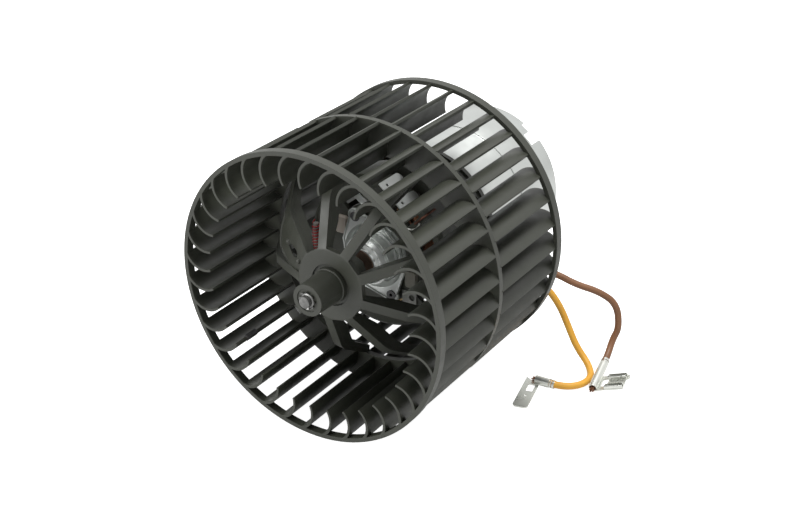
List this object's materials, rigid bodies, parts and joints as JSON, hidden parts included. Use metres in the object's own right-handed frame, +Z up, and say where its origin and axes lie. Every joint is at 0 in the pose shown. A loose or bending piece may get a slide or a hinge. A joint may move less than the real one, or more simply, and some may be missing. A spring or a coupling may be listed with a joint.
{
  "type": "car cabin blower motor",
  "caption": "Cabin blower for a car heater: a double squirrel-cage impeller on the shaft of a brushed motor in a round can, with two flying leads",
  "frame": {"origin": "On the shaft's axis, 9.5 mm behind the front edge of the band of the can's outside wall that the mounting clamp grips", "axes": "+Y runs along the shaft from the open inlet and hub to the can's rear, +Z is up as the object lies in the picture, +X is to the right seen from the inlet"},
  "size_m": [0.1924, 0.174, 0.15],
  "materials": {
    "black_plastic": "moulded, slightly satin",
    "zinc_plate": "bright zinc plating",
    "bright_steel": "ground",
    "dark_steel": "blackened",
    "spring_steel": "plain",
    "lamination_steel": "stacked sheet edges",
    "bronze": "sintered",
    "copper": "enamelled wire",
    "brass": "folded sheet",
    "tinned_brass": "tin plating",
    "brown_laminate": "pressed laminate",
    "ferrite": "ground ceramic",
    "carbon": "pressed carbon",
    "felt": "oiled felt",
    "red_lacquer": "lacquered wire",
    "beige_plastic": "moulded",
    "black_rubber": "moulded",
    "orange_pvc": "extruded",
    "brown_pvc": "extruded"
  },
  "bodies": {
    "stator": {"front_bearing": "bronze", "front_bearing_cap": "zinc_plate", "front_bearing_retainer": "spring_steel", "oil_felt": "felt", "bearing_clamp": "zinc_plate", "clamp_eyelets": "dark_steel", "front_housing": "black_plastic", "motor_can": "zinc_plate", "rear_cover": "zinc_plate", "rear_bearing": "bronze", "rear_bearing_retainer": "spring_steel", "magnet_upper": "ferrite", "magnet_lower": "ferrite", "magnet_clips": "spring_steel", "brush_holder_upper": "brass", "brush_spring_upper": "spring_steel", "brush_holder_lower": "brass", "brush_spring_lower": "spring_steel", "choke_core": "ferrite", "choke_coil": "red_lacquer", "insulator_block_left": "beige_plastic", "insulator_block_right": "beige_plastic", "spade_tab_left": "tinned_brass", "spade_tab_right": "tinned_brass", "bus_strip": "tinned_brass", "earth_tag": "tinned_brass", "lead_grommet": "black_rubber", "orange_lead": "orange_pvc", "brown_lead": "brown_pvc", "orange_terminal": "tinned_brass", "brown_terminal": "tinned_brass"},
    "rotor": {"impeller": "black_plastic", "balance_clip": "dark_steel", "shaft": "bright_steel", "hub_clip": "bright_steel", "front_thrust_washer": "brown_laminate", "rear_thrust_washer": "brown_laminate", "rear_spacer": "brown_laminate", "armature_core": "lamination_steel", "armature_windings": "copper", "commutator_bars": "copper", "commutator_core": "brown_laminate"},
    "upper_brush": {"brush_upper": "carbon"},
    "lower_brush": {"brush_lower": "carbon"}
  },
  "joints": [
    {"name": "rotor_turn", "type": "hinge", "parent": "stator", "child": "rotor", "pos_m": [0, 0, 0], "axis": [0, 1, 0], "continuous": true},
    {"name": "upper_brush_slide", "type": "slide", "parent": "stator", "child": "upper_brush", "axis": [0, 0, 1], "range_m": [0, 0.0045], "stiffness_N_per_m": 80, "springref_m": -0.004, "deforming": ["brush_spring_upper"]},
    {"name": "lower_brush_slide", "type": "slide", "parent": "stator", "child": "lower_brush", "axis": [0, 0, -1], "range_m": [0, 0.0045], "stiffness_N_per_m": 80, "springref_m": -0.004, "deforming": ["brush_spring_lower"]}
  ]
}
